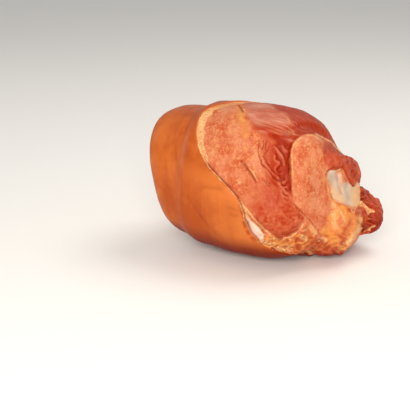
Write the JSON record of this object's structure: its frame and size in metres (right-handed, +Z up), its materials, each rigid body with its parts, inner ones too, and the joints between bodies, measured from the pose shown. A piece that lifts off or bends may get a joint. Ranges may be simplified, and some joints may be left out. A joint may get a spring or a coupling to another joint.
{
  "type": "smoked pork knuckle",
  "caption": "Skin-on smoked pork knuckle lying on its rind, cut across at the wide end, with the joint bone showing and a loose lump of meat behind it.",
  "frame": {"origin": "on the surface that the knuckle rests on, under the middle of its box", "axes": "+X along the shank from the narrow sawn end to the wide cut end, +Z up, +Y to the side away from the cut face"},
  "size_m": [0.1869, 0.1234, 0.1298],
  "materials": {
    "smoked_meat": "smoked and cooked pork: glossy amber rind, matt coral-red cut meat with pale seams, and cream fat at the rind's edge",
    "bone": "moist joint bone with grey-white cartilage, and a sawn end"
  },
  "bodies": {
    "root": {"knuckle": "smoked_meat", "bone": "bone"}
  },
  "joints": []
}
